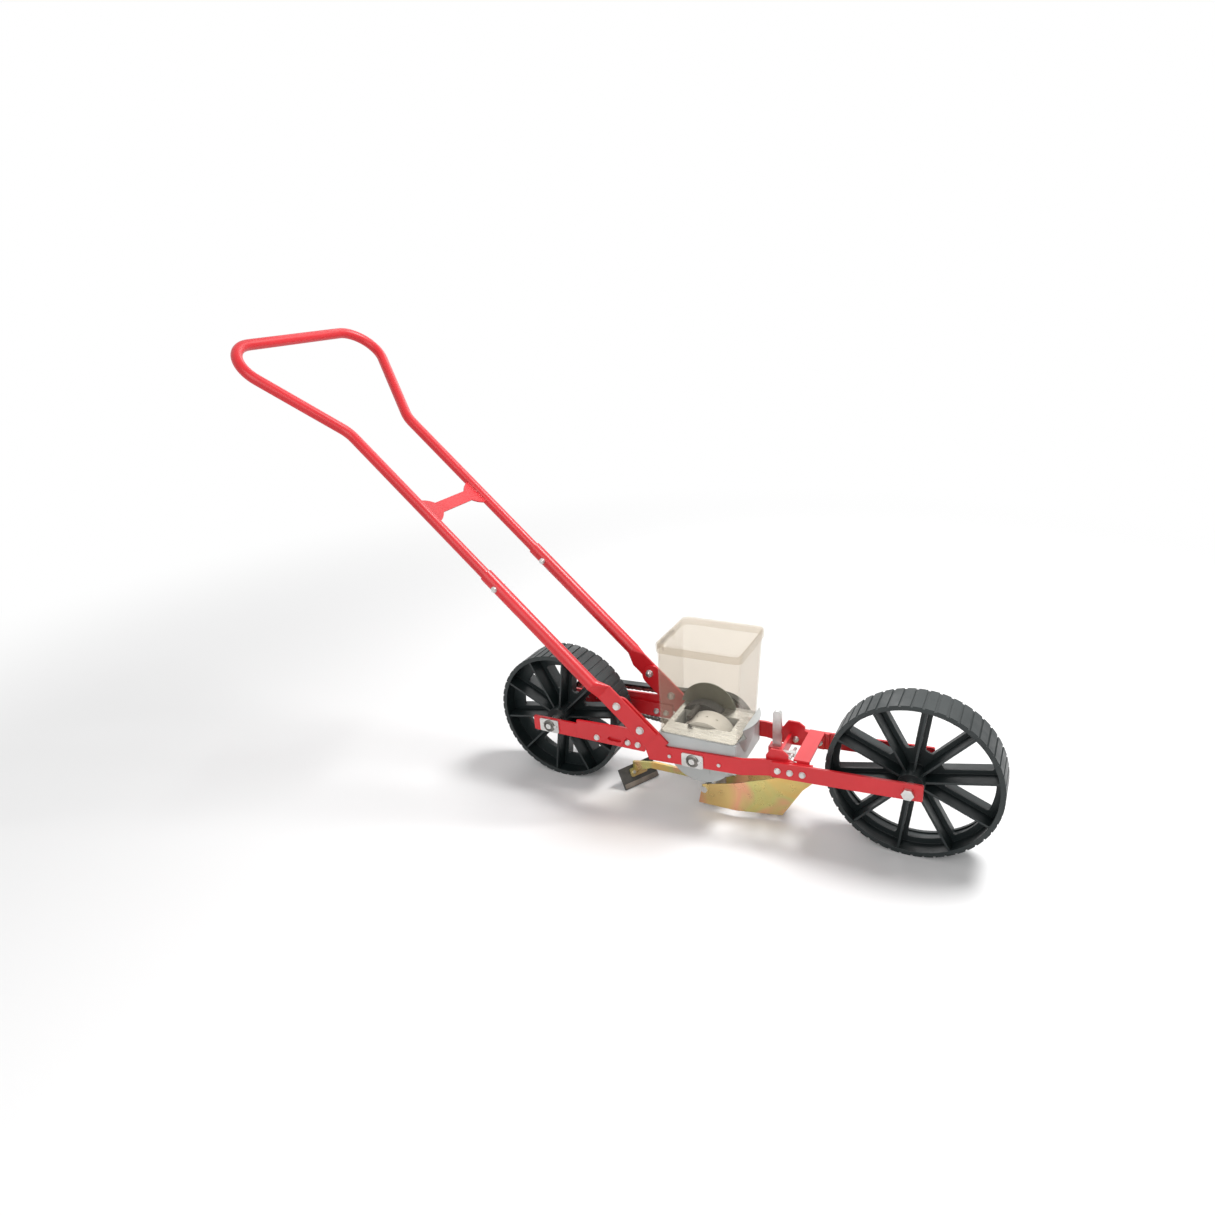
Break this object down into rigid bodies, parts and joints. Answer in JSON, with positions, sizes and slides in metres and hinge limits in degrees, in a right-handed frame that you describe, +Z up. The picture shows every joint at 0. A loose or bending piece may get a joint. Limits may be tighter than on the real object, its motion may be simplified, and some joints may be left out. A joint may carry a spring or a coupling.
{
  "type": "garden seeder",
  "caption": "Garden push seeder with ribbed plastic wheels, a clear seed hopper, a chain-driven seed roller, a furrow opener, a covering board and a red tubular handle",
  "frame": {"origin": "centre of the bounding box in X and Y, on the ground at Z = 0", "axes": "+X forwards in the working direction (longest extent), +Y to the operator's left (shortest extent), +Z up"},
  "size_m": [1.4664, 0.3986, 0.9286],
  "materials": {
    "red_paint": "bright red gloss paint",
    "zinc": "zinc plated steel",
    "bronze": "sintered bronze",
    "black_plastic": "black moulded plastic",
    "chain_steel": "oiled steel",
    "white_plastic": "white moulded plastic",
    "grey_plastic": "light grey moulded plastic",
    "clear_plastic": "smoky clear plastic",
    "sheet_steel": "plain steel sheet",
    "green_plastic": "grey-green plastic",
    "dark_plastic": "dark moulded plastic",
    "bristle": "stiff dark bristles",
    "yellow_zinc": "yellow chromated steel",
    "board_black": "black board with a paler lower lip"
  },
  "bodies": {
    "frame": {"side_plate_right": "red_paint", "side_plate_left": "red_paint", "rear_arm_right": "red_paint", "rear_arm_left": "red_paint", "front_arm_right": "red_paint", "front_arm_left": "red_paint", "front_crossbar": "red_paint", "shank_bracket": "red_paint", "handle_lower_tube_right": "red_paint", "handle_lower_tube_left": "red_paint", "handle_loop": "red_paint", "handle_brace": "red_paint", "handle_bolts": "zinc", "handle_nuts": "zinc", "tube_bolts": "zinc", "extension_bolts": "zinc", "arm_bolts": "zinc", "front_bolts": "zinc", "small_nuts": "zinc", "bearing_plates": "zinc", "bearing_screws": "zinc", "housing_screws": "zinc", "guard_screws": "zinc", "front_axle": "zinc", "front_axle_nut": "zinc", "front_spacers": "zinc", "lid_hinge_pin": "zinc", "bearings": "bronze", "drive_chain": "chain_steel", "roller_housing": "grey_plastic", "seed_chute": "grey_plastic", "hopper": "clear_plastic", "hopper_floor": "sheet_steel", "far_panel": "green_plastic", "brush_holder": "dark_plastic", "brush": "bristle", "chain_guard": "black_plastic"},
    "rear_wheel_set": {"rear_wheel": "black_plastic", "rear_axle": "zinc", "wheel_spacers": "zinc", "drive_sprocket": "zinc"},
    "roller_set": {"roller_shaft": "zinc", "seed_roller": "white_plastic", "roller_sprocket": "zinc"},
    "front_wheel_body": {"front_wheel": "black_plastic"},
    "lid": {"hopper_lid": "clear_plastic"},
    "opener": {"opener_shank": "zinc", "furrow_opener": "yellow_zinc", "opener_bolt": "zinc", "opener_nut": "zinc", "pivot_spacers": "zinc"},
    "coverer": {"covering_arm": "yellow_zinc", "covering_plate": "board_black", "covering_screws": "zinc"},
    "clamp": {"clamp_screw": "zinc"}
  },
  "joints": [
    {"name": "rear_wheel_spin", "type": "hinge", "parent": "frame", "child": "rear_wheel_set", "pos_m": [-0.12877, 0, 0.14], "axis": [0, 1, 0], "continuous": true},
    {"name": "roller_spin", "type": "hinge", "parent": "frame", "child": "roller_set", "pos_m": [0.19176, 0, 0.131], "axis": [0, 1, 0], "continuous": true},
    {"name": "front_wheel_spin", "type": "hinge", "parent": "frame", "child": "front_wheel_body", "pos_m": [0.58323, 0, 0.15], "axis": [0, 1, 0], "continuous": true},
    {"name": "lid_hinge", "type": "hinge", "parent": "frame", "child": "lid", "pos_m": [0.11276, 0, 0.346], "axis": [0, -1, 0], "range_deg": [0, 110]},
    {"name": "depth_slide", "type": "slide", "parent": "frame", "child": "opener", "axis": [0, 0, 1], "range_m": [-0.04, 0]},
    {"name": "clamp_turn", "type": "hinge", "parent": "frame", "child": "clamp", "pos_m": [0.33376, 0, 0.141], "axis": [1, 0, 0], "continuous": true},
    {"name": "coverer_swing", "type": "hinge", "parent": "opener", "child": "coverer", "pos_m": [0.19976, 0, 0.047], "axis": [0, 1, 0], "range_deg": [-8, 15]}
  ],
  "couplings": [
    {"joint": "roller_spin", "follows": "rear_wheel_spin", "ratio": 0.5}
  ]
}
